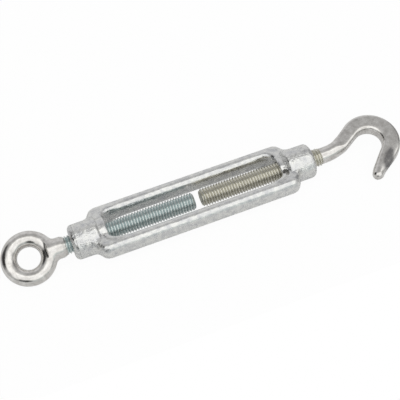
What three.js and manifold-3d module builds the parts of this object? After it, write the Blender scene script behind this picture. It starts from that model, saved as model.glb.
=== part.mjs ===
// Hook-and-eye rigging turnbuckle with an open forged body, thread size M8.
// The frame turns on two bolts: the eye bolt has a left-hand thread and the hook bolt a right-hand one,
// so one turn of the frame moves both bolts in or out by a pitch. Millimetres, +Z up, bolt axis along X.
import * as THREE from "three";
import { mergeVertices } from "three/addons/utils/BufferGeometryUtils.js";
import Module from "manifold-3d";

const wasm = await Module();
wasm.setup();

// Driving dimensions
const frameLength = 110; // between the outer faces of the two bosses
const frameWidth = 26.9; // across the outer sides of the two bars
const barWidth = 5.2; // of one bar, across the frame
const barThickness = 7.9; // of one bar, along the frame's normal
const barEdgeHeight = 2.6; // of the rounding along each bar, up its flank
const barEdgeInset = 1.6; // of the same rounding, in over its top
const bossDiameter = 15.3;
const bossLength = 15.8; // from the outer face to the window
const noseLength = 2.1; // rounded end of each boss
const noseFaceDiameter = 10.4; // flat ring that is left around the bore
const shoulderStart = 4.3; // past the window's end, where a bar starts to slope down to its boss
const shoulderRun = 4.2;
const shoulderRadius = 3;
const windowCornerRadius = 4;
const neckLength = 4.6; // of the narrower neck between the window and a boss
const hookNeckDiameter = 11;
const eyeNeckDiameter = 13.2;
const neckSlope = 1.2; // run of the rounded step from a neck up to its boss

const threadDiameter = 7.96;
const threadPitch = 1.25;
const threadDepth = 0.74;
const threadClearance = 0.18; // on the radius, between a bolt and its tapped boss
const threadChamfer = 0.9;
const boltGap = 3.1; // from the eye bolt's end, at the middle of the frame, to the hook bolt's end
const boreChamfer = 0.2; // how far each tapped bore opens past the thread at its mouths
const partingGap = 0.3; // between the frame and the nose ring of its eye-end boss

const eyeHoleDiameter = 9.8;
const eyeSectionDiameter = 6.9;
const eyeReach = 18.4; // from the boss face to the centre of the eye
const collarDiameter = 9.1;
const collarChamferLength = 1.6;
const eyeExposedThread = 2.5; // between the boss face and the collar

const hookExposedThread = 4.2; // between the boss face and the smooth shank
const shankDiameter = 7.1;
const shankStraight = 2.2; // smooth and straight, before the bend
const neckBendRadius = 19.8;
const neckBendAngle = THREE.MathUtils.degToRad(33);
const neckStraight = 5.8;
const bowlRadius = 9.6; // to the middle of the section
const bowlAngle = THREE.MathUtils.degToRad(173);
const tipStraight = 9.6;
const tipBendRadius = 12;
const tipBendAngle = THREE.MathUtils.degToRad(26);
const tipDiameter = 4.6;
const hookThickness = 5.8; // across its two pressed faces
const flatteningRun = 5; // over which the round shank turns to the flattened section
const thinningStart = 0.72; // share of the length from which the thickness falls to the tip's
const hookWidths = [ // in the plane of the hook, each at its share of the length
  [0, shankDiameter],
  [0.12, 6.8],
  [0.24, 6.6],
  [0.42, 7.6],
  [0.62, 7.8],
  [0.78, 7.6],
  [0.9, 5.8],
  [1, tipDiameter],
];

// Fineness of the meshes
const threadSegments = 16;
const roundSegments = 40;
const ringSegments = 40;
const sectionPoints = 16;
const hookStations = 40;

// Places on the axis, with the middle of the frame at zero
const faceX = frameLength / 2;
const windowX = faceX - bossLength;
const noseX = faceX - noseLength;
const bossRadius = bossDiameter / 2;
const noseFaceRadius = noseFaceDiameter / 2;
const crestRadius = threadDiameter / 2;
const rootRadius = crestRadius - threadDepth;
const boreMouthRadius = crestRadius + threadClearance + boreChamfer;

// The part lies on its two round bosses, and each bolt is rolled until it touches the ground too:
// the hook bolt with its tip and the eye bolt with the rim of its ring
const hookPath = hookLine(faceX + hookExposedThread);
const hookLength = hookPath.getLength();
const tipStart = 1 - tipDiameter / 2 / hookLength; // share of the length where the tip's round end begins
const tipReach = Math.abs(hookPath.getPointAt(tipStart).y);
const hookRoll = Math.asin((bossRadius - tipDiameter / 2) / tipReach);
const ringRadius = (eyeHoleDiameter + eyeSectionDiameter) / 2;
const eyeRoll = Math.asin((bossRadius - eyeSectionDiameter / 2) / ringRadius);

const steel = (colour, roughness) =>
  new THREE.MeshStandardMaterial({ color: colour, roughness, metalness: 1 });

// A closed geometry as a manifold-3d solid.
function solid(geometry) {
  const bare = geometry.index ? geometry.toNonIndexed() : geometry.clone();
  bare.deleteAttribute("normal");
  bare.deleteAttribute("uv");
  const merged = mergeVertices(bare, 1e-4);
  return new wasm.Manifold(
    new wasm.Mesh({
      numProp: 3,
      vertProperties: merged.attributes.position.array,
      triVerts: new Uint32Array(merged.index.array),
    }),
  );
}

// A manifold-3d solid as a named mesh, without the crumbs that a thread leaves where it meets a chamfer.
function namedMesh(name, made, material) {
  const bodies = made.decompose().sort((a, b) => b.volume() - a.volume());
  const mesh = bodies[0].getMesh();
  const geometry = new THREE.BufferGeometry();
  geometry.setAttribute("position", new THREE.BufferAttribute(mesh.vertProperties, 3));
  geometry.setIndex(new THREE.BufferAttribute(mesh.triVerts, 1));
  geometry.computeVertexNormals();
  const named = new THREE.Mesh(geometry, material);
  named.name = name;
  return named;
}

// A solid of revolution about X from a closed profile of [x, radius] pairs, given towards +X on the outside.
function turned(profile, segments = roundSegments) {
  const points = profile.map(([x, radius]) => new THREE.Vector2(radius, x));
  const geometry = new THREE.LatheGeometry(points, segments);
  geometry.rotateZ(-Math.PI / 2);
  return solid(geometry);
}

// Points of a quarter ellipse that rounds a boss from its flat face (x = 0) to its barrel (x = noseLength).
function nosePoints(steps = 4) {
  const points = [];
  for (let i = 0; i <= steps; i++) {
    const turn = (i / steps) * (Math.PI / 2);
    points.push([
      noseLength * (1 - Math.cos(turn)),
      noseFaceRadius + (bossRadius - noseFaceRadius) * Math.sin(turn),
    ]);
  }
  return points;
}

// Profile of a neck that starts at the window's end and steps up to its boss in a quarter ellipse.
function neckPoints(neckRadius, steps = 4) {
  const neckX = windowX + neckLength;
  const points = [[windowX, 0], [windowX, neckRadius]];
  for (let i = 0; i <= steps; i++) {
    const turn = (i / steps) * (Math.PI / 2);
    points.push([
      neckX - neckSlope * Math.cos(turn),
      neckRadius + (bossRadius - neckRadius) * Math.sin(turn),
    ]);
  }
  return points;
}

// A rod with a V thread: rows of crests and roots wind round X, each turn joining the next one a pitch on.
// hand is 1 for a right-hand thread and -1 for a left-hand one, and shift moves the whole helix along X.
function threadedRod(hand, from, to, growth = 0, shift = 0) {
  const firstTurn = Math.floor((from - shift) / threadPitch) - 1;
  const turns = Math.ceil((to - shift) / threadPitch) + 1 - firstTurn;
  const start = firstTurn * threadPitch + shift;
  const rows = 2 * turns;
  const positions = [];
  const place = (row, segment) => {
    const angle = (segment / threadSegments) * 2 * Math.PI;
    const radius = (row % 2 ? crestRadius : rootRadius) + growth;
    positions.push(
      start + (row / 2 + segment / threadSegments) * threadPitch,
      -hand * radius * Math.sin(angle),
      radius * Math.cos(angle),
    );
  };
  for (let row = 0; row <= rows; row++) {
    for (let segment = 0; segment < threadSegments; segment++) place(row, segment);
  }
  place(rows + 1, 0);
  place(rows + 2, 0);
  const startCentre = positions.length / 3;
  positions.push(start, 0, 0);
  positions.push(start + (turns + 1) * threadPitch, 0, 0);
  const endCentre = startCentre + 1;

  // a full turn on, a row meets the row of the next pitch
  const vertex = (row, segment) => {
    if (segment === threadSegments) return vertex(row + 2, 0);
    return row <= rows ? row * threadSegments + segment : (rows + 1) * threadSegments + row - rows - 1;
  };
  const indices = [];
  const triangle = (a, b, c) => indices.push(...(hand > 0 ? [a, c, b] : [a, b, c]));
  for (let segment = 0; segment < threadSegments; segment++) {
    for (let row = 0; row < rows; row++) {
      const [a, b] = [vertex(row, segment), vertex(row + 1, segment)];
      const [c, d] = [vertex(row + 1, segment + 1), vertex(row, segment + 1)];
      triangle(a, b, c);
      triangle(a, c, d);
    }
    triangle(startCentre, vertex(0, segment), vertex(0, segment + 1));
    triangle(endCentre, vertex(rows, segment + 1), vertex(rows, segment));
  }
  // the step where the first and last turns end
  for (const [centre, row, flip] of [[startCentre, 0, false], [endCentre, rows, true]]) {
    const step = [vertex(row + 2, 0), vertex(row + 1, 0), vertex(row, 0)];
    if (flip) step.reverse();
    triangle(centre, step[0], step[1]);
    triangle(centre, step[1], step[2]);
  }
  const geometry = new THREE.BufferGeometry();
  geometry.setAttribute("position", new THREE.Float32BufferAttribute(positions, 3));
  geometry.setIndex(indices);
  return solid(geometry);
}

// A bolt's thread between two places on the axis, chamfered at both ends.
function boltThread(hand, from, to) {
  const over = crestRadius + 0.1;
  const low = over - threadChamfer - 0.1;
  const envelope = turned(
    [[from, 0], [from, low], [from + threadChamfer, over], [to - threadChamfer, over], [to, low], [to, 0]],
    threadSegments * 2,
  );
  return threadedRod(hand, from, to).intersect(envelope);
}

// What is cut from a boss for its bolt: a threaded bore with an opened mouth at each end. roll is the bolt's.
function tappedBore(hand, roll, from, to) {
  const over = 0.5;
  const deep = boreMouthRadius - rootRadius;
  const shift = (-hand * threadPitch * roll) / (2 * Math.PI); // keeps it in step with the rolled bolt
  const low = rootRadius - 0.1;
  const thread = threadedRod(hand, from, to, threadClearance, shift).intersect(
    turned([[from - over, 0], [from - over, bossRadius], [to + over, bossRadius], [to + over, 0]]),
  );
  const mouth = (x, inward) => {
    const profile = [
      [x - inward * over, 0],
      [x - inward * over, boreMouthRadius + over],
      [x + inward * deep, low],
      [x + inward * deep, 0],
    ];
    return turned(inward > 0 ? profile : profile.reverse());
  };
  return thread.add(mouth(from, 1)).add(mouth(to, -1));
}

// A closed outline of [x, y, radius] corners, each rounded from where an arc of its radius would start.
function roundedOutline(path, corners) {
  const at = (i) => corners[(i + corners.length) % corners.length];
  corners.forEach(([x, y, radius], i) => {
    const corner = new THREE.Vector2(x, y);
    const back = new THREE.Vector2(...at(i - 1)).sub(corner);
    const ahead = new THREE.Vector2(...at(i + 1)).sub(corner);
    const half = Math.acos(back.clone().normalize().dot(ahead.clone().normalize())) / 2;
    const cut = radius / Math.tan(half);
    const enter = corner.clone().addScaledVector(back.normalize(), cut);
    const leave = corner.clone().addScaledVector(ahead.normalize(), cut);
    if (i === 0) path.moveTo(enter.x, enter.y);
    else path.lineTo(enter.x, enter.y);
    path.quadraticCurveTo(x, y, leave.x, leave.y);
  });
  path.closePath();
  return path;
}

// Frame: one forging, two bars between two tapped bosses
function makeFrame() {
  const outer = frameWidth / 2;
  const inner = outer - barWidth;
  const slopeX = windowX + shoulderStart;
  const tailX = slopeX + shoulderRun;
  const tailY = bossRadius * 0.8; // the slab ends inside the boss
  const quarter = [[tailX + 1, tailY, 0], [tailX, tailY, 0], [slopeX, outer, shoulderRadius]];
  const mirrorX = quarter.map(([x, y, r]) => [-x, y, r]).reverse();
  const upper = [...quarter, ...mirrorX];
  const lower = upper.map(([x, y, r]) => [x, -y, r]).reverse();
  const shape = roundedOutline(new THREE.Shape(), [...upper, ...lower]);
  const window = [[windowX, -inner], [windowX, inner], [-windowX, inner], [-windowX, -inner]];
  const hole = roundedOutline(new THREE.Path(), window.map(([x, y]) => [x, y, windowCornerRadius]));
  shape.holes.push(hole);
  const slab = new THREE.ExtrudeGeometry(shape, {
    depth: barThickness - 2 * barEdgeHeight,
    bevelThickness: barEdgeHeight,
    bevelSize: barEdgeInset,
    bevelOffset: -barEdgeInset,
    bevelSegments: 4,
    curveSegments: 5,
  });
  slab.translate(0, 0, barEdgeHeight - barThickness / 2);

  const hookNose = nosePoints().map(([x, radius]) => [faceX - x, radius]).reverse();
  const hookBoss = turned([...neckPoints(hookNeckDiameter / 2), ...hookNose, [faceX, 0]]);
  const cutX = -noseX + partingGap / 2;
  const eyeNeck = neckPoints(eyeNeckDiameter / 2).map(([x, radius]) => [-x, radius]).reverse();
  const eyeBoss = turned([[cutX, 0], [cutX, bossRadius], ...eyeNeck]);
  return solid(slab)
    .add(hookBoss)
    .add(eyeBoss)
    .subtract(tappedBore(1, hookRoll, windowX, faceX))
    .subtract(tappedBore(-1, eyeRoll, cutX, -windowX));
}

// Nose ring: the rounded end of the eye-end boss, clear of the thread
function makeNoseRing() {
  const cutX = -noseX - partingGap / 2;
  const outside = nosePoints(8)
    .map(([x, radius]) => [x - faceX, radius])
    .filter(([x]) => x < cutX);
  const [lastX, lastRadius] = outside[outside.length - 1];
  const slope = (bossRadius - lastRadius) / (-noseX - lastX);
  outside.push([cutX, lastRadius + slope * (cutX - lastX)]);
  return turned([[-faceX, boreMouthRadius], ...outside, [cutX, boreMouthRadius], [-faceX, boreMouthRadius]]);
}

// Eye bolt: a ring on a collar, with the left-hand thread
function makeEyeBolt() {
  const centreX = -faceX - eyeReach;
  const collarX = -faceX - eyeExposedThread;
  const ring = new THREE.TorusGeometry(ringRadius, eyeSectionDiameter / 2, sectionPoints, ringSegments);
  ring.translate(centreX, 0, 0);
  const collarRadius = collarDiameter / 2;
  const collarBack = centreX + ringRadius;
  const collar = turned([
    [collarBack, 0],
    [collarBack, collarRadius],
    [collarX - collarChamferLength, collarRadius],
    [collarX, crestRadius - 0.1],
    [collarX, 0],
  ]);
  const eyeHole = new THREE.CylinderGeometry(
    eyeHoleDiameter / 2, eyeHoleDiameter / 2, 2 * collarDiameter, ringSegments,
  );
  eyeHole.rotateX(Math.PI / 2);
  eyeHole.translate(centreX, 0, 0);
  return solid(ring)
    .add(collar.subtract(solid(eyeHole)))
    .add(boltThread(-1, collarX - threadChamfer, 0));
}

// Middle line of the hook, in its own plane: shank, bend, bowl and tip
function hookLine(startX) {
  const line = new THREE.Path();
  let [x, y, heading] = [startX, 0, 0];
  line.moveTo(x, y);
  const straight = (length) => {
    x += length * Math.cos(heading);
    y += length * Math.sin(heading);
    line.lineTo(x, y);
  };
  const bend = (radius, angle) => {
    const side = Math.sign(angle);
    const [centreX, centreY] = [x - side * radius * Math.sin(heading), y + side * radius * Math.cos(heading)];
    const startAngle = heading - (side * Math.PI) / 2;
    line.absarc(centreX, centreY, radius, startAngle, startAngle + angle, side < 0);
    heading += angle;
    x = centreX + side * radius * Math.sin(heading);
    y = centreY - side * radius * Math.cos(heading);
  };
  straight(shankStraight);
  bend(neckBendRadius, neckBendAngle);
  straight(neckStraight);
  bend(bowlRadius, -bowlAngle);
  straight(tipStraight);
  bend(tipBendRadius, tipBendAngle);
  return line;
}

// Hook bolt: a threaded shank with its end bent to a hook and pressed flat on both sides
function makeHookBolt() {
  const shankX = faceX + hookExposedThread;
  const flatFrom = (shankStraight + 0.45 * neckBendRadius * neckBendAngle) / hookLength;
  const flatTo = flatFrom + flatteningRun / hookLength;
  const { smoothstep, lerp, clamp, mapLinear } = THREE.MathUtils;
  const widthAt = (along) => {
    const i = Math.max(1, hookWidths.findIndex(([share]) => share >= along));
    return mapLinear(along, hookWidths[i - 1][0], hookWidths[i][0], hookWidths[i - 1][1], hookWidths[i][1]);
  };
  const positions = [];
  for (let station = 0; station <= hookStations; station++) {
    const along = station / hookStations;
    const flat = smoothstep(along, flatFrom, flatTo);
    const taper = smoothstep(along, thinningStart, tipStart);
    const round = clamp((along - tipStart) / (1 - tipStart), 0, 0.98);
    const cap = Math.sqrt(1 - round * round);
    const halfWidth = (widthAt(along) / 2) * cap;
    const halfHeight = (lerp(lerp(shankDiameter, hookThickness, flat), tipDiameter, taper) / 2) * cap;
    const squareness = lerp(1, 0.4, flat * (1 - taper));
    const centre = hookPath.getPointAt(along);
    const tangent = hookPath.getTangentAt(along);
    for (let i = 0; i < sectionPoints; i++) {
      const angle = ((i + 0.5) / sectionPoints) * 2 * Math.PI;
      const across = halfWidth * Math.sign(Math.cos(angle)) * Math.abs(Math.cos(angle)) ** squareness;
      const up = halfHeight * Math.sign(Math.sin(angle)) * Math.abs(Math.sin(angle)) ** squareness;
      positions.push(centre.x + tangent.y * across, centre.y - tangent.x * across, up);
    }
  }
  const first = positions.length / 3;
  const [start, end] = [hookPath.getPointAt(0), hookPath.getPointAt(1)];
  positions.push(start.x, start.y, 0, end.x, end.y, 0);
  const indices = [];
  for (let i = 0; i < sectionPoints; i++) {
    const next = (i + 1) % sectionPoints;
    for (let station = 0; station < hookStations; station++) {
      const [a, b] = [station * sectionPoints + i, station * sectionPoints + next];
      indices.push(a, a + sectionPoints, b + sectionPoints, a, b + sectionPoints, b);
    }
    const last = hookStations * sectionPoints;
    indices.push(first, i, next, first + 1, last + next, last + i);
  }
  const hook = new THREE.BufferGeometry();
  hook.setAttribute("position", new THREE.Float32BufferAttribute(positions, 3));
  hook.setIndex(indices);
  return solid(hook).add(boltThread(1, boltGap, shankX + threadChamfer / 2));
}

// Assembly, lying on the ground: its lowest point at z = 0 and the middle of its box over the origin
const frameSteel = steel("#b9bcc0", 0.42);
const frame = namedMesh("frame", makeFrame(), frameSteel);
const frameNose = namedMesh("frame_nose_ring", makeNoseRing(), frameSteel);
const eyeBolt = namedMesh("eye_bolt", makeEyeBolt(), steel("#c4c6c6", 0.25));
const hookBolt = namedMesh("hook_bolt", makeHookBolt(), steel("#bfbdb8", 0.3));

eyeBolt.rotation.x = eyeRoll;
hookBolt.rotation.x = hookRoll;
const turnbuckle = new THREE.Group();
turnbuckle.add(frame, frameNose, eyeBolt, hookBolt);
const box = new THREE.Box3().setFromObject(turnbuckle, true);
const middle = box.getCenter(new THREE.Vector3());
turnbuckle.position.set(-middle.x, -middle.y, -box.min.z);

export default turnbuckle;
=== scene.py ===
"""Looks of a hook-and-eye rigging turnbuckle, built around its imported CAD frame. Metres, +Z up."""

import math

import bmesh
import bpy
import numpy as np
from mathutils import Matrix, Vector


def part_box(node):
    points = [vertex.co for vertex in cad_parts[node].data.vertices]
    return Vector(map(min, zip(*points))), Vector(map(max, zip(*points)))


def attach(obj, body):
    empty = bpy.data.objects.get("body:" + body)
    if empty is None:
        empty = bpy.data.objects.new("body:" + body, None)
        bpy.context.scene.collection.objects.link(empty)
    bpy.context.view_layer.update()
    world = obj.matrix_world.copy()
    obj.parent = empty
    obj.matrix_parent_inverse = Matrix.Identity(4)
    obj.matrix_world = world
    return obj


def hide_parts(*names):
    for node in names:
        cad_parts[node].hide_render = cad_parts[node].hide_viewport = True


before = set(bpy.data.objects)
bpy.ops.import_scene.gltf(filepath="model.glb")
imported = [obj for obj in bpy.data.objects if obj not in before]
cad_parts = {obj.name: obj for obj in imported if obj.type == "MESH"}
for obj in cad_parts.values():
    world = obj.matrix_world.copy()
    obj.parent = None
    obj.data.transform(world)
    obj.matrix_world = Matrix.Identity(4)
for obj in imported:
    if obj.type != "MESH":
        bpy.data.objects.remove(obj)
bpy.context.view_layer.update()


# ---------------------------------------------------------------------------
# Frame. One drop forging in low-carbon steel: two bars between two bosses that
# are bored and tapped for the bolts, with generous fillets where they meet.
# Zinc plated after forging, so the scale marks of the dies show as soft mottling.
MM = 0.001
FRAME_LENGTH = 110.0
FRAME_HALF_WIDTH = 13.46
BAR_WIDTH = 5.55
BAR_THICKNESS = 7.9
BAR_ROUNDNESS = 2.4
BOSS_RADIUS = 7.65
BOSS_LENGTH = 15.8
NOSE_LENGTH = 2.1
NOSE_RISE = 2.45
SHOULDER_START = 4.3
SHOULDER_RUN = 4.2
WINDOW_CORNER = 4.0
NECK_LENGTH = 4.6
NECK_STEP = 1.2
HOOK_NECK_RADIUS = 5.8
HOOK_NECK_HOLLOW = 0.4
EYE_NECK_RADIUS = 6.6
EYE_NECK_HOLLOW = 0.3
RIDGE_RADIUS = 1.6
RIDGE_SUNK = 1.2
# one deep forging pit in the neck at the hook end: its middle and its reach each way
PIT = (40.7, -5.8, 3.0)
PIT_RADII = (1.3, 2.0, 2.0)
BORE_RADIUS = 4.22
FILLET = 2.0
PARTING = 0.1
NET_STEP = 0.3

FACE_X = FRAME_LENGTH / 2
WINDOW_X = FACE_X - BOSS_LENGTH
NOSE_X = FACE_X - NOSE_LENGTH

nose_low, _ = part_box("frame_nose_ring")
frame_low, frame_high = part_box("frame")
centre = np.array(
    [
        (nose_low.x + frame_high.x) / 2,
        (frame_low.y + frame_high.y) / 2,
        (frame_low.z + frame_high.z) / 2,
    ]
)


def blended(a, b, width):
    """Smooth union of two fields: the lower of both, less a parabola where they differ by under width."""
    share = np.clip(0.5 + 0.5 * (b - a) / width, 0, 1)
    return b + (a - b) * share - width * share * (1 - share)


def smooth(t):
    """Cubic ease from 0 to 1."""
    t = np.clip(t, 0, 1)
    return t * t * (3 - 2 * t)


def cut(a, b, width):
    """Field a without field b, with the edge between them rounded over width."""
    return -blended(-a, b, width)


def rounded_meet(a, b, radius_a, radius_b, power=2.0):
    """Intersection of two fields whose shared edge is a quarter of the superellipse of that power
    with the two radii: power 2 is an ellipse and a higher one is squarer."""
    u, v = a / radius_a + 1, b / radius_b + 1
    bulge = (np.maximum(u, 0) ** power + np.maximum(v, 0) ** power) ** (1 / power)
    return math.sqrt(radius_a * radius_b) * (bulge + np.minimum(np.maximum(u, v), 0) - 1)


def forging_field(x, y, z):
    """Signed field of the forging in millimetres, negative in the steel: a flat slab with rounded
    edges and a window, blended into a barrel at each end and bored through."""
    long, side, high = np.abs(x), np.abs(y), np.abs(z)
    run, rise = SHOULDER_RUN, FRAME_HALF_WIDTH - BOSS_RADIUS * 0.8
    from_shoulder = long - WINDOW_X - SHOULDER_START
    slope = (from_shoulder * rise + (side - FRAME_HALF_WIDTH) * run) / math.hypot(run, rise)
    outline = -blended(FRAME_HALF_WIDTH - side, -slope, 2.0)
    inner = FRAME_HALF_WIDTH - BAR_WIDTH
    corner_x = long - WINDOW_X + WINDOW_CORNER
    corner_y = side - inner + WINDOW_CORNER
    window = (
        np.hypot(np.maximum(corner_x, 0), np.maximum(corner_y, 0))
        + np.minimum(np.maximum(corner_x, corner_y), 0)
        - WINDOW_CORNER
    )
    level = high - BAR_THICKNESS / 2
    slab = rounded_meet(np.maximum(outline, -window), level, BAR_WIDTH / 2, BAR_THICKNESS / 2, BAR_ROUNDNESS)
    ridge = np.hypot(window - RIDGE_RADIUS, level + RIDGE_SUNK) - RIDGE_RADIUS
    ridge = ridge + RIDGE_RADIUS * np.clip((WINDOW_X - 3 - long) / 8, 0, 1.5)
    slab = blended(slab, ridge, 0.5)
    radius = np.hypot(y, z)
    hollow = smooth((long - WINDOW_X - 0.8) / 2.4)
    hook_neck = HOOK_NECK_RADIUS - HOOK_NECK_HOLLOW * hollow
    eye_neck = EYE_NECK_RADIUS - EYE_NECK_HOLLOW * hollow
    neck_radius = np.where(x > 0, hook_neck, eye_neck)
    neck_ends = np.maximum(WINDOW_X - long, long - FACE_X + NOSE_LENGTH)
    neck = rounded_meet(radius - neck_radius, neck_ends, 0.7, 0.7)
    barrel = rounded_meet(radius - BOSS_RADIUS, long - FACE_X, NOSE_RISE, NOSE_LENGTH)
    step = WINDOW_X + NECK_LENGTH - NECK_STEP - long
    barrel = rounded_meet(barrel, step, BOSS_RADIUS - EYE_NECK_RADIUS + 0.4, NECK_STEP)
    steel = blended(slab, np.minimum(barrel, neck), FILLET * np.clip((long - WINDOW_X) / 6, 0.25, 1))
    pit_x, pit_y, pit_z = [(p - middle) / reach for p, middle, reach in zip((x, y, z), PIT, PIT_RADII)]
    pit = np.hypot(np.hypot(pit_x, pit_y), pit_z) - 1
    steel = cut(steel, PIT_RADII[0] * pit, 0.4)
    return cut(steel, radius - BORE_RADIUS, 0.5)


def net_surface(field, low, high, step):
    """Closed quads of the surface where field is zero. Every grid cell that it passes through gets one
    point, the mean of the crossings on the cell's edges, which is then slid down the field's gradient on
    to the surface. Every crossed grid edge gets the quad of its four cells, wound to face outwards."""
    axes = [np.arange(a, b + step, step) for a, b in zip(low, high)]
    values = field(*np.meshgrid(*axes, indexing="ij"))
    places, cells = [], []
    for axis in range(3):
        first = tuple(slice(0, -1) if i == axis else slice(None) for i in range(3))
        second = tuple(slice(1, None) if i == axis else slice(None) for i in range(3))
        a, b = values[first], values[second]
        at = np.argwhere((a < 0) != (b < 0))
        near, far = a[tuple(at.T)], b[tuple(at.T)]
        place = at.astype(float)
        place[:, axis] += near / (near - far)
        around = np.zeros((4, 3), int)
        around[:, (axis + 1) % 3] = [-1, 0, 0, -1]
        around[:, (axis + 2) % 3] = [-1, -1, 0, 0]
        four = at[:, None, :] + around
        four[near >= 0] = four[near >= 0][:, ::-1]
        places.append(np.repeat(place, 4, axis=0))
        cells.append(four.reshape(-1, 3))
    places, cells = np.concatenate(places), np.concatenate(cells)
    flat = np.ravel_multi_index(cells.T, values.shape)
    _, quads = np.unique(flat, return_inverse=True)
    count = np.bincount(quads)
    points = np.stack([np.bincount(quads, places[:, i]) / count for i in range(3)], axis=1)
    points = np.array([axis[0] for axis in axes]) + points * step
    for _ in range(4):
        level = field(*points.T)
        nudge = 0.01 * np.eye(3)
        gradient = np.stack(
            [(field(*(points + d).T) - field(*(points - d).T)) / 0.02 for d in nudge], axis=1
        )
        size = np.maximum((gradient**2).sum(1), 0.05)
        points -= np.clip(level / size, -0.3 * step, 0.3 * step)[:, None] * gradient
    return points, quads.reshape(-1, 4)


def piece(name, points, faces, crease=35.0):
    """A mesh object from points in millimetres about the frame's middle, smooth but for its sharp edges."""
    mesh = bpy.data.meshes.new(name)
    mesh.from_pydata(centre + np.asarray(points) * MM, [], [list(face) for face in faces])
    mesh.validate()
    mesh.polygons.foreach_set("use_smooth", np.ones(len(mesh.polygons), bool))
    mesh.set_sharp_from_angle(angle=math.radians(crease))
    made = bpy.data.objects.new(name, mesh)
    bpy.context.scene.collection.objects.link(made)
    return made


def linear(code):
    """Linear RGBA of an sRGB hex colour."""
    channels = [int(code[i : i + 2], 16) / 255 for i in (1, 3, 5)]
    return [c / 12.92 if c <= 0.04045 else ((c + 0.055) / 1.055) ** 2.4 for c in channels] + [1.0]


def add(tree, kind, inputs=(), **settings):
    """A node of that kind with its settings. An input is given as a value or as a socket to link."""
    node = tree.nodes.new(kind)
    for key, value in settings.items():
        setattr(node, key, value)
    for key, value in dict(inputs).items():
        if isinstance(value, bpy.types.NodeSocket):
            tree.links.new(value, node.inputs[key])
        else:
            node.inputs[key].default_value = value
    return node


def maths(tree, operation, *values):
    """The result of a math operation on the values, in their order."""
    return add(tree, "ShaderNodeMath", dict(enumerate(values)), operation=operation).outputs[0]


def remapped(tree, value, start, end, first, last):
    """The value carried from the span start to end on to the span first to last, and held beyond it."""
    spans = {"Value": value, "From Min": start, "From Max": end, "To Min": first, "To Max": last}
    return add(tree, "ShaderNodeMapRange", spans).outputs["Result"]


def noise(tree, place, size, detail, roughness):
    """Noise about 0.5, with marks about that many millimetres across."""
    inputs = {"Vector": place, "Scale": 1 / (size * MM), "Detail": detail, "Roughness": roughness}
    return add(tree, "ShaderNodeTexNoise", inputs).outputs["Fac"]


def ramped(tree, value, stops):
    """The colour at value between stops of a position and a linear colour each."""
    node = add(tree, "ShaderNodeValToRGB", {"Fac": value})
    for index, (position, colour) in enumerate(stops):
        stop = node.color_ramp.elements[index] if index < 2 else node.color_ramp.elements.new(position)
        stop.position = position
        stop.color = colour
    return node.outputs["Color"]


def mixed(tree, factor, a, b):
    """Two colours mixed by a factor. A mix node's colour sockets are its inputs 6 and 7 and output 2."""
    return add(tree, "ShaderNodeMix", {0: factor, 6: a, 7: b}, data_type="RGBA").outputs[2]


def bumped(tree, height, distance, strength=1.0, over=None):
    """The normal bent by a height that stands for that many metres, on top of another bent normal."""
    inputs = {"Height": height, "Strength": strength, "Distance": distance}
    if over is not None:
        inputs["Normal"] = over
    return add(tree, "ShaderNodeBump", inputs).outputs["Normal"]


def metal(name, build):
    """A metallic material whose colour, roughness and normal come from build, given its tree and place."""
    material = bpy.data.materials.new(name)
    material.use_nodes = True
    tree = material.node_tree
    tree.nodes.clear()
    colour, roughness, normal = build(tree, add(tree, "ShaderNodeTexCoord").outputs["Object"])
    inputs = {"Base Color": colour, "Roughness": roughness, "Metallic": 1.0, "Normal": normal}
    shader = add(tree, "ShaderNodeBsdfPrincipled", inputs)
    add(tree, "ShaderNodeOutputMaterial", {"Surface": shader.outputs["BSDF"]})
    return material


def forged_zinc(tree, place):
    """Bright zinc plate over a drop forging. The dents that the dies and the shot leave, one to two
    millimetres across, break the reflections into mottling. On the bosses the surface is rougher,
    with small dark pits, and along the bars there are faint streaks from trimming."""
    spread = add(tree, "ShaderNodeSeparateXYZ", {"Vector": place})
    from_middle = maths(tree, "ABSOLUTE", maths(tree, "SUBTRACT", spread.outputs["X"], centre[0]))
    boss = remapped(tree, from_middle, 40 * MM, 45 * MM, 0.0, 1.0)
    dents = noise(tree, place, 2.2, 3.0, 0.52)
    grain = noise(tree, place, 0.7, 2.0, 0.55)
    drawn_out = add(tree, "ShaderNodeMapping", {"Vector": place, "Scale": (0.12, 1.0, 1.0)})
    streaks = noise(tree, drawn_out.outputs["Vector"], 0.9, 2.0, 0.5)
    tone = ramped(tree, dents, [(0.3, linear("#d2d3d5")), (0.62, linear("#f0f0ed"))])
    pits = maths(tree, "MULTIPLY", remapped(tree, grain, 0.38, 0.31, 0.0, 0.5), boss)
    # painted shade inside the one deep pit: the colour darkens towards its middle
    pit, reach = centre + np.array(PIT) * MM, 1 / (np.array(PIT_RADII) * MM)
    from_pit = add(tree, "ShaderNodeVectorMath", {0: place, 1: pit}, operation="SUBTRACT")
    from_pit = add(tree, "ShaderNodeVectorMath", {0: from_pit.outputs[0], 1: reach}, operation="MULTIPLY")
    from_pit = add(tree, "ShaderNodeVectorMath", {0: from_pit.outputs[0]}, operation="LENGTH")
    pits = maths(tree, "MAXIMUM", pits, remapped(tree, from_pit.outputs["Value"], 1.25, 1.0, 0.0, 0.35))
    # the bosses' dark specks and the deep pit's painted shade both mix towards the same dark colour
    colour = mixed(tree, pits, tone, linear("#6f6a60"))
    low = bumped(tree, dents, remapped(tree, boss, 0.0, 1.0, 0.16 * MM, 0.55 * MM))
    lines = bumped(tree, streaks, 0.1 * MM, over=low)
    fine = bumped(tree, grain, 0.03 * MM, over=lines)
    return colour, remapped(tree, grain, 0.3, 0.7, 0.22, 0.36), fine


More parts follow.
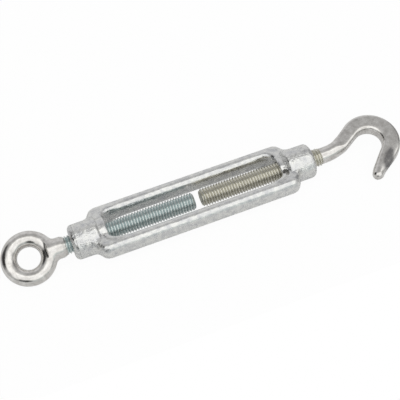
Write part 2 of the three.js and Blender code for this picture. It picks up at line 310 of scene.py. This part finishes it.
points, quads = net_surface(
    forging_field,
    [-FACE_X - 1, -FRAME_HALF_WIDTH - 1, -BOSS_RADIUS - 1],
    [FACE_X + 1, FRAME_HALF_WIDTH + 1, BOSS_RADIUS + 1],
    NET_STEP,
)
forging = piece("frame_forging", points, quads)
shell = bmesh.new()
shell.from_mesh(forging.data)
parting_x = centre[0] + (-NOSE_X + PARTING / 2) * MM
halves = bmesh.ops.bisect_plane(
    shell,
    geom=shell.verts[:] + shell.edges[:] + shell.faces[:],
    plane_co=(parting_x, 0, 0),
    plane_no=(-1, 0, 0),
    clear_outer=True,
)
rim = [e for e in halves["geom_cut"] if isinstance(e, bmesh.types.BMEdge)]
bmesh.ops.triangle_fill(shell, edges=rim, use_beauty=True, normal=(-1, 0, 0))
bmesh.ops.recalc_face_normals(shell, faces=shell.faces[:])
shell.to_mesh(forging.data)
shell.free()
forging.data.set_sharp_from_angle(angle=math.radians(35))
plate = metal("forged_zinc", forged_zinc)
forging.data.materials.append(plate)
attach(forging, "frame")
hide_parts("frame")


# ---------------------------------------------------------------------------
# Nose of the eye-end boss. It is the same forging as the frame: only its rounded
# end, kept as a piece of its own because it carries the frame's travel.
NOSE_STEPS = 20
TURN_STEPS = 128


def grid_quads(rows, columns, close_rows=False, close_columns=False):
    """Quads of a grid of points held row by row, joined back to its start where it closes."""
    row, column = np.meshgrid(
        np.arange(rows if close_rows else rows - 1),
        np.arange(columns if close_columns else columns - 1),
        indexing="ij",
    )
    here, below, after = row * columns, (row + 1) % rows * columns, (column + 1) % columns
    corners = [here + column, below + column, below + after, here + after]
    return np.stack(corners, axis=-1).reshape(-1, 4)


def lathe(profile, steps):
    """A closed surface of revolution about the bolt axis: a ring of [x, radius] points turned once round."""
    profile = np.asarray(profile, float)
    turn = np.tile(np.linspace(0, 2 * np.pi, steps, endpoint=False), len(profile))
    x, radius = np.repeat(profile, steps, axis=0).T
    points = np.stack([x, -radius * np.sin(turn), radius * np.cos(turn)], axis=1)
    return points, grid_quads(len(profile), steps, close_rows=True, close_columns=True)


swing = np.linspace(0, np.pi / 2, NOSE_STEPS)
arc = np.stack(
    [-FACE_X + NOSE_LENGTH * (1 - np.cos(swing)), BOSS_RADIUS - NOSE_RISE * (1 - np.sin(swing))], axis=1
)
arc[-1, 0] -= PARTING / 2
mouth = [[-NOSE_X - PARTING / 2, BORE_RADIUS], [-FACE_X + 0.3, BORE_RADIUS], [-FACE_X, BORE_RADIUS + 0.3]]
points, quads = lathe(np.concatenate([arc, mouth]), TURN_STEPS)
nose = piece("nose_of_eye_end_boss", points, quads[:, ::-1])
nose.data.materials.append(plate)
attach(nose, "frame_nose")
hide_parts("frame_nose_ring")


# ---------------------------------------------------------------------------
# Hook bolt. Round bar, forged and bent to a hook and pressed flat on both sides,
# with a rolled right-hand thread on its shank. Bright zinc plate.
THREAD_PITCH = 1.25
# height of the profile, 0 in the root and 1 on the crest, at shares of the pitch
THREAD_SHARES = [0.0, 0.1, 0.22, 0.4, 0.47, 0.5, 0.6, 0.63, 0.7, 0.88]
THREAD_HEIGHTS = [0.0, 0.0, 0.3, 0.82, 0.97, 1.0, 1.0, 0.97, 0.82, 0.3]
CREST_RADIUS = 3.98
ROOT_RADIUS = 3.24
THREAD_CHAMFER = 0.9
HOOK_EXPOSED_THREAD = 4.2
HOOK_THREAD_LENGTH = 56.1
SHANK_RADIUS = 3.55
NECK_STRAIGHT = 2.2
NECK_BEND = (19.8, math.radians(33))
NECK_RISE = 5.8
BOWL = (9.6, math.radians(-173))
TIP_STRAIGHT = 9.6
TIP_BEND = (12.0, math.radians(26))
HOOK_HALF_THICKNESS = 2.9
TIP_RADIUS = 2.3
FLATTENING_RUN = 5.0
# the darker, duller patch near the tip: its middle, the way it lies, and its reach along and across
TIP_DARK_PATCH = (86.0, -12.6)
TIP_DARK_PATCH_WAY = (0.68, 0.73)
TIP_DARK_PATCH_REACH = (5.6, 2.3)
# half width of the section at shares of the line's length
WIDTH_SHARES = [0.0, 0.12, 0.24, 0.42, 0.62, 0.78, 0.9, 1.0]
HALF_WIDTHS = [3.55, 3.4, 3.3, 3.8, 3.9, 3.8, 2.9, 2.3]
STATIONS = 260
AROUND = 56


def hook_line(count):
    """Points and headings at even steps along the hook's middle line, a chain of straights and arcs:
    the heading is the integral of the curvature, and the place the integral of the heading."""
    runs = [
        (NECK_STRAIGHT, 0.0),
        (NECK_BEND[0] * abs(NECK_BEND[1]), NECK_BEND[1]),
        (NECK_RISE, 0.0),
        (BOWL[0] * abs(BOWL[1]), BOWL[1]),
        (TIP_STRAIGHT, 0.0),
        (TIP_BEND[0] * abs(TIP_BEND[1]), TIP_BEND[1]),
    ]
    ends = np.cumsum([0.0] + [length for length, _ in runs])
    turned = np.cumsum([0.0] + [angle for _, angle in runs])
    fine = np.linspace(0, ends[-1], 20 * count + 1)
    heading = np.interp(fine, ends, turned)
    middle = (heading[1:] + heading[:-1]) / 2
    step = np.diff(fine)
    x = np.concatenate([[0], np.cumsum(step * np.cos(middle))])
    y = np.concatenate([[0], np.cumsum(step * np.sin(middle))])
    return fine[::20], np.stack([x, y], axis=1)[::20], heading[::20]


along, line, heading = hook_line(STATIONS)
line_length = along[-1]
tip_from = line_length - TIP_RADIUS
tip_reach = abs(np.interp(tip_from, along, line[:, 1]))
HOOK_ROLL = math.asin((BOSS_RADIUS - TIP_RADIUS) / tip_reach)


def rolled(points, roll):
    """The points of a bolt turned about its axis."""
    x, y, z = np.asarray(points).T
    return np.stack(
        [x, y * math.cos(roll) - z * math.sin(roll), y * math.sin(roll) + z * math.cos(roll)], axis=1
    )


def hook_surface():
    """The hook as a section carried along its line. The section goes from a circle to an ellipse cut
    flat above and below, narrows towards the tip, and closes there in a half sphere."""
    flat_from = NECK_STRAIGHT + 0.45 * NECK_BEND[0] * NECK_BEND[1]
    flat = smooth((along - flat_from) / FLATTENING_RUN)[:, None]
    taper = smooth((along / line_length - 0.72) / 0.26)[:, None]
    round_end = np.clip((along - tip_from) / TIP_RADIUS, 0, 0.999)[:, None]
    cap = np.sqrt(1 - round_end**2)
    half_width = np.interp(along / line_length, WIDTH_SHARES, HALF_WIDTHS)
    half_width = np.convolve(np.pad(half_width, 12, "edge"), np.ones(25) / 25, "valid")[:, None]
    half_height = SHANK_RADIUS + (HOOK_HALF_THICKNESS - SHANK_RADIUS) * flat
    half_height = half_height * (1 - taper) + TIP_RADIUS * taper
    angle = np.linspace(0, 2 * np.pi, AROUND, endpoint=False)[None, :]
    squareness = 1 - 0.6 * flat * (1 - taper)
    across = np.sign(np.cos(angle)) * np.abs(np.cos(angle)) ** squareness * half_width * cap
    up = np.sign(np.sin(angle)) * np.abs(np.sin(angle)) ** squareness * half_height * cap
    x = line[:, 0:1] + np.sin(heading)[:, None] * across + FACE_X + HOOK_EXPOSED_THREAD
    y = line[:, 1:2] - np.cos(heading)[:, None] * across
    grid = np.stack([x, y, np.broadcast_to(up, x.shape)], axis=-1).reshape(-1, 3)
    quads = grid_quads(len(along), AROUND, close_columns=True).tolist()
    start = list(range(AROUND))
    last = len(grid) - AROUND
    return grid, quads + [start] + [[last + i for i in reversed(range(AROUND))]]


def thread_surface(hand, low, high, columns=72):
    """A rolled thread as a grid that winds with its helix: down each column the radius follows the
    V profile with its flats, and each column sits 1/columns of a pitch further on than the last, so
    the seam joins every turn to the next. Both ends run down a chamfer cone to an open ring."""
    profile = np.transpose([THREAD_SHARES, THREAD_HEIGHTS])
    turns = int(math.ceil((high - low) / THREAD_PITCH)) + 3
    rows = turns * len(profile)
    start = low - 1.5 * THREAD_PITCH
    shift = np.repeat(np.arange(turns), len(profile)) + np.tile(profile[:, 0], turns)
    column = np.arange(columns + 1)
    x = start + THREAD_PITCH * (shift[:, None] + column[None, :] / columns)
    depth = np.tile(profile[:, 1], turns)[:, None]
    radius = ROOT_RADIUS + (CREST_RADIUS - ROOT_RADIUS) * depth + 0 * x
    x = np.clip(x, low, high)
    to_end = np.minimum(x - low, high - x)
    radius = np.minimum(radius, CREST_RADIUS - THREAD_CHAMFER + to_end)
    angle = column / columns * 2 * np.pi
    grid = np.stack([x, -hand * radius * np.sin(angle), radius * np.cos(angle)], axis=-1)
    quads = grid_quads(rows, columns + 1)
    return grid.reshape(-1, 3), quads if hand > 0 else quads[:, ::-1]


def store_shade(made, shade_at):
    """Stores a shade from 0 to 1 at each point of a piece, from a function of its place in millimetres."""
    places = np.empty(3 * len(made.data.vertices))
    made.data.vertices.foreach_get("co", places)
    shade = made.data.attributes.new("shade", "FLOAT", "POINT")
    shade.data.foreach_set("value", np.clip(shade_at(*((places.reshape(-1, 3) - centre) / MM).T), 0, 1))


def groove_painted_shade(x, y, z):
    """Painted shade for a thread's grooves: 0 on a thread's crest and 1 in its root."""
    return (CREST_RADIUS - np.hypot(y, z)) / (CREST_RADIUS - ROOT_RADIUS)


def tip_dark_patch(x, y, z):
    """A dull patch that goes through the hook's arm on the way to its tip and fades out at its edges."""
    x, y = x - TIP_DARK_PATCH[0], y - TIP_DARK_PATCH[1]
    along = TIP_DARK_PATCH_WAY[0] * x + TIP_DARK_PATCH_WAY[1] * y
    across = TIP_DARK_PATCH_WAY[1] * x - TIP_DARK_PATCH_WAY[0] * y
    return smooth(1.5 - np.hypot(along / TIP_DARK_PATCH_REACH[0], across / TIP_DARK_PATCH_REACH[1]))


def sealed(made):
    """Merges the points that coincide at a piece's seams and ends, drops the faces that this leaves with
    no area, closes what is still open and turns every face outwards."""
    shell = bmesh.new()
    shell.from_mesh(made.data)
    bmesh.ops.remove_doubles(shell, verts=shell.verts[:], dist=0.002 * MM)
    open_edges = [e for e in shell.edges if e.is_boundary]
    bmesh.ops.holes_fill(shell, edges=open_edges, sides=0)
    bmesh.ops.recalc_face_normals(shell, faces=shell.faces[:])
    shell.to_mesh(made.data)
    shell.free()
    made.data.polygons.foreach_set("use_smooth", np.ones(len(made.data.polygons), bool))
    made.data.set_sharp_from_angle(angle=math.radians(40))
    return made


def bolt_zinc(name, pale, dark, dull, most):
    """Bright zinc plate on rolled and forged bar: smoother than the frame, with faint clouding. Where the
    piece's shade rises it turns rougher and takes on the dull colour, by the share most where the shade is
    full: in a thread's grooves this is painted shade, and on the hook it is a darker, duller patch near the
    tip."""

    def build(tree, place):
        cloud = noise(tree, place, 2.5, 4.0, 0.66)
        tone = ramped(tree, cloud, [(0.3, linear(dark)), (0.65, linear(pale))])
        shade = add(tree, "ShaderNodeAttribute", attribute_name="shade").outputs["Fac"]
        patchy = maths(tree, "MULTIPLY_ADD", maths(tree, "SUBTRACT", cloud, 0.5), 2.2, shade)
        shade_and_patch = remapped(tree, maths(tree, "MULTIPLY", patchy, shade), 0.05, 0.9, 0.0, most)
        roughness = maths(tree, "MULTIPLY_ADD", shade, 0.3, remapped(tree, cloud, 0.3, 0.7, 0.12, 0.24))
        return mixed(tree, shade_and_patch, tone, linear(dull)), roughness, bumped(tree, cloud, 0.12 * MM, strength=0.2)

    return metal(name, build)


# the third colour of the two thread plates is the painted shade in their grooves; on the pressed plate it is
# the colour of the darker patch near the hook's tip
warm_plate = bolt_zinc("warm_bolt_zinc", "#f4f2ea", "#dedcd2", "#a8a592", 0.5)
pressed_plate = bolt_zinc("pressed_bolt_zinc", "#f0eeeb", "#cbc8c4", "#555457", 0.8)
points, faces = hook_surface()
hook = sealed(piece("hook_forging", rolled(points, HOOK_ROLL), faces))
hook.data.materials.append(pressed_plate)
# a darker, duller patch on the hook's arm near its tip
store_shade(hook, tip_dark_patch)
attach(hook, "hook_bolt")
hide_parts("hook_bolt")

shank_x = FACE_X + HOOK_EXPOSED_THREAD
points, faces = thread_surface(1, shank_x - HOOK_THREAD_LENGTH, shank_x + THREAD_CHAMFER / 2)
hook_thread = sealed(piece("hook_bolt_thread", rolled(points, HOOK_ROLL), faces))
hook_thread.data.materials.append(warm_plate)
# painted shade in the thread's grooves, darkest in the roots
store_shade(hook_thread, groove_painted_shade)
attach(hook_thread, "hook_bolt")


# ---------------------------------------------------------------------------
# Eye bolt. A drop-forged ring on a short collar, with a rolled left-hand thread,
# so that it draws in together with the hook bolt. Bright zinc plate.
EYE_HOLE_RADIUS = 4.9
EYE_SECTION_RADIUS = 3.45
EYE_REACH = 18.4
COLLAR_RADIUS = 4.55
EYE_FILLET = 1.6
EYE_EXPOSED_THREAD = 2.5
EYE_THREAD_LENGTH = 57.5
EYE_NET_STEP = 0.25

ring_radius = EYE_HOLE_RADIUS + EYE_SECTION_RADIUS
EYE_ROLL = math.asin((BOSS_RADIUS - EYE_SECTION_RADIUS) / ring_radius)
eye_x = -FACE_X - EYE_REACH
collar_x = -FACE_X - EYE_EXPOSED_THREAD


def eye_field(x, y, z):
    """Signed field of the eye in millimetres: a torus blended into a collar that ends in a cone."""
    from_middle = np.hypot(x - eye_x, y) - ring_radius
    torus = np.hypot(from_middle, z) - EYE_SECTION_RADIUS
    radius = np.hypot(y, z)
    cone = (radius - CREST_RADIUS + 0.1 + (x - collar_x) * 0.42) * 0.92
    collar = np.maximum(radius - COLLAR_RADIUS, cone)
    collar = np.maximum(collar, x - collar_x)
    collar = np.maximum(collar, eye_x + ring_radius - x)
    eye = blended(torus, collar, EYE_FILLET)
    hole = np.hypot(x - eye_x, y) - EYE_HOLE_RADIUS
    return np.maximum(eye, -hole)


outside = ring_radius + EYE_SECTION_RADIUS + 1
points, quads = net_surface(
    eye_field,
    [eye_x - outside, -outside, -COLLAR_RADIUS - 1],
    [collar_x + 1, outside, COLLAR_RADIUS + 1],
    EYE_NET_STEP,
)
# its third colour is the painted shade in the thread's grooves
cool_plate = bolt_zinc("cool_bolt_zinc", "#eef3f2", "#d6dedd", "#8aa5a8", 0.5)
eye = piece("eye_forging", rolled(points, EYE_ROLL), quads)
eye.data.materials.append(pressed_plate)
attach(eye, "eye_bolt")
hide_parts("eye_bolt")

points, faces = thread_surface(-1, collar_x - THREAD_CHAMFER, collar_x + EYE_THREAD_LENGTH)
eye_thread = sealed(piece("eye_bolt_thread", rolled(points, EYE_ROLL), faces))
eye_thread.data.materials.append(cool_plate)
# painted shade in the thread's grooves, darkest in the roots
store_shade(eye_thread, groove_painted_shade)
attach(eye_thread, "eye_bolt")


# ---------------------------------------------------------------------------
# Table and light. A white sheet that ends a little way in front of the part, under a
# large soft box that hangs over the near side and reaches to just past overhead.
SHEET = [(-1.2, -0.06), (1.2, -0.06), (1.2, 1.5), (-1.2, 1.5)]
PAPER_GLOW = 1.02
GLOW_SEEN = 0.93
GLOW_IN_METAL = 0.14

floor_mesh = bpy.data.meshes.new("white_table")
floor_mesh.from_pydata([(x, y, 0) for x, y in SHEET], [], [(0, 1, 2, 3)])
floor = bpy.data.objects.new("white_table", floor_mesh)
bpy.context.scene.collection.objects.link(floor)
paper = bpy.data.materials.new("white_paper")
paper.use_nodes = True
tree = paper.node_tree
tree.nodes.clear()
path = add(tree, "ShaderNodeLightPath").outputs
matt = add(tree, "ShaderNodeBsdfDiffuse", {"Color": linear("#f2f2f2")})
glow = add(tree, "ShaderNodeEmission", {"Color": (1, 1, 1, 1), "Strength": PAPER_GLOW})
# nearly all glow to the camera, with a little of the part's shadow left, and mostly lit paper in the metal
in_metal = maths(tree, "MULTIPLY", path["Is Glossy Ray"], GLOW_IN_METAL)
share = maths(tree, "MULTIPLY_ADD", path["Is Camera Ray"], GLOW_SEEN, in_metal)
both = add(tree, "ShaderNodeMixShader", {"Fac": share, 1: matt.outputs["BSDF"], 2: glow.outputs["Emission"]})
add(tree, "ShaderNodeOutputMaterial", {"Surface": both.outputs["Shader"]})
floor.data.materials.append(paper)

# radiance by the angle round the bolt axis, from the near horizon over the top to the far one
AROUND_SKY = [
    (-180, (0.62, 0.62, 0.62)),
    (-60, (0.55, 0.57, 0.57)),
    (-26, (0.52, 0.56, 0.56)),
    (-2, (0.52, 0.57, 0.57)),
    (20, (1.18, 1.18, 1.16)),
    (46, (1.0, 1.0, 1.0)),
    (74, (1.3, 1.3, 1.28)),
    (88, (0.5, 0.5, 0.5)),
    (112, (0.44, 0.44, 0.44)),
    (134, (0.68, 0.68, 0.69)),
    (165, (0.68, 0.68, 0.68)),
    (180, (0.62, 0.62, 0.62)),
]
# dark openings between the soft box's cloths: direction, and the cosines where each starts and is full
DARK_OPENINGS = [((-0.776, 0.253, 0.592), 0.88, 0.95), ((-0.46, -0.88, 0.13), 0.935, 0.975)]

world = bpy.data.worlds.new("studio")
bpy.context.scene.world = world
world.use_nodes = True
tree = world.node_tree
tree.nodes.clear()
place = add(tree, "ShaderNodeTexCoord").outputs["Generated"]
spread = add(tree, "ShaderNodeSeparateXYZ", {"Vector": place}).outputs
round_axis = maths(tree, "ARCTAN2", spread["Z"], maths(tree, "MULTIPLY", spread["Y"], -1.0))
share = remapped(tree, round_axis, -math.pi, math.pi, 0.0, 1.0)
sky = ramped(tree, share, [((angle + 180) / 360, (*colour, 1)) for angle, colour in AROUND_SKY])
# the sides of the room are darker than the soft box between them
strength = remapped(tree, maths(tree, "ABSOLUTE", spread["X"]), 0.66, 0.82, 1.0, 0.45)
for direction, start, full in DARK_OPENINGS:
    toward = add(tree, "ShaderNodeVectorMath", {0: place, 1: direction}, operation="DOT_PRODUCT")
    dim = remapped(tree, toward.outputs["Value"], start, full, 1.0, 0.1)
    strength = maths(tree, "MULTIPLY", strength, dim)
studio = add(tree, "ShaderNodeBackground", {"Color": sky, "Strength": strength})
white = add(tree, "ShaderNodeBackground", {"Color": (1, 1, 1, 1), "Strength": 1.0})
camera_ray = add(tree, "ShaderNodeLightPath").outputs["Is Camera Ray"]
seen = add(tree, "ShaderNodeMixShader", {"Fac": camera_ray, 1: studio.outputs[0], 2: white.outputs[0]})
add(tree, "ShaderNodeOutputWorld", {"Surface": seen.outputs["Shader"]})


# ---------------------------------------------------------------------------
# Camera. A short telephoto lens, above and a little to the eye's side, rolled so
# that the bolts' axis rises to the right.
DISTANCE = 400.0
LENS = 84.15
CAMERA_ASIDE = math.radians(9)
CAMERA_LEAN = math.radians(44)
AXIS_RISE = math.radians(19.32)
AIM_RIGHT = 2.63
AIM_UP = 0.30

toward_camera = np.array(
    [
        -math.sin(CAMERA_ASIDE),
        -math.cos(CAMERA_ASIDE) * math.sin(CAMERA_LEAN),
        math.cos(CAMERA_ASIDE) * math.cos(CAMERA_LEAN),
    ]
)
axis_seen = np.array([1.0, 0, 0]) - toward_camera[0] * toward_camera
axis_seen /= np.linalg.norm(axis_seen)
normal_seen = np.cross(toward_camera, axis_seen)
right = math.cos(AXIS_RISE) * axis_seen - math.sin(AXIS_RISE) * normal_seen
up = math.sin(AXIS_RISE) * axis_seen + math.cos(AXIS_RISE) * normal_seen
eye_point = centre + toward_camera * DISTANCE * MM
aim = centre + (AIM_RIGHT * right + AIM_UP * up) * MM
back = (eye_point - aim) / np.linalg.norm(eye_point - aim)
right = np.cross(up, back)
right /= np.linalg.norm(right)
up = np.cross(back, right)

lens = bpy.data.cameras.new("camera")
lens.lens = LENS
lens.sensor_width = 36
lens.clip_start = 0.01
lens.clip_end = 10
camera = bpy.data.objects.new("camera", lens)
bpy.context.scene.collection.objects.link(camera)
placing = np.stack([right, up, back, eye_point], axis=1)
camera.matrix_world = Matrix(np.vstack([placing, [0, 0, 0, 1]]).tolist())
bpy.context.scene.camera = camera
bpy.context.scene.view_settings.view_transform = "Standard"
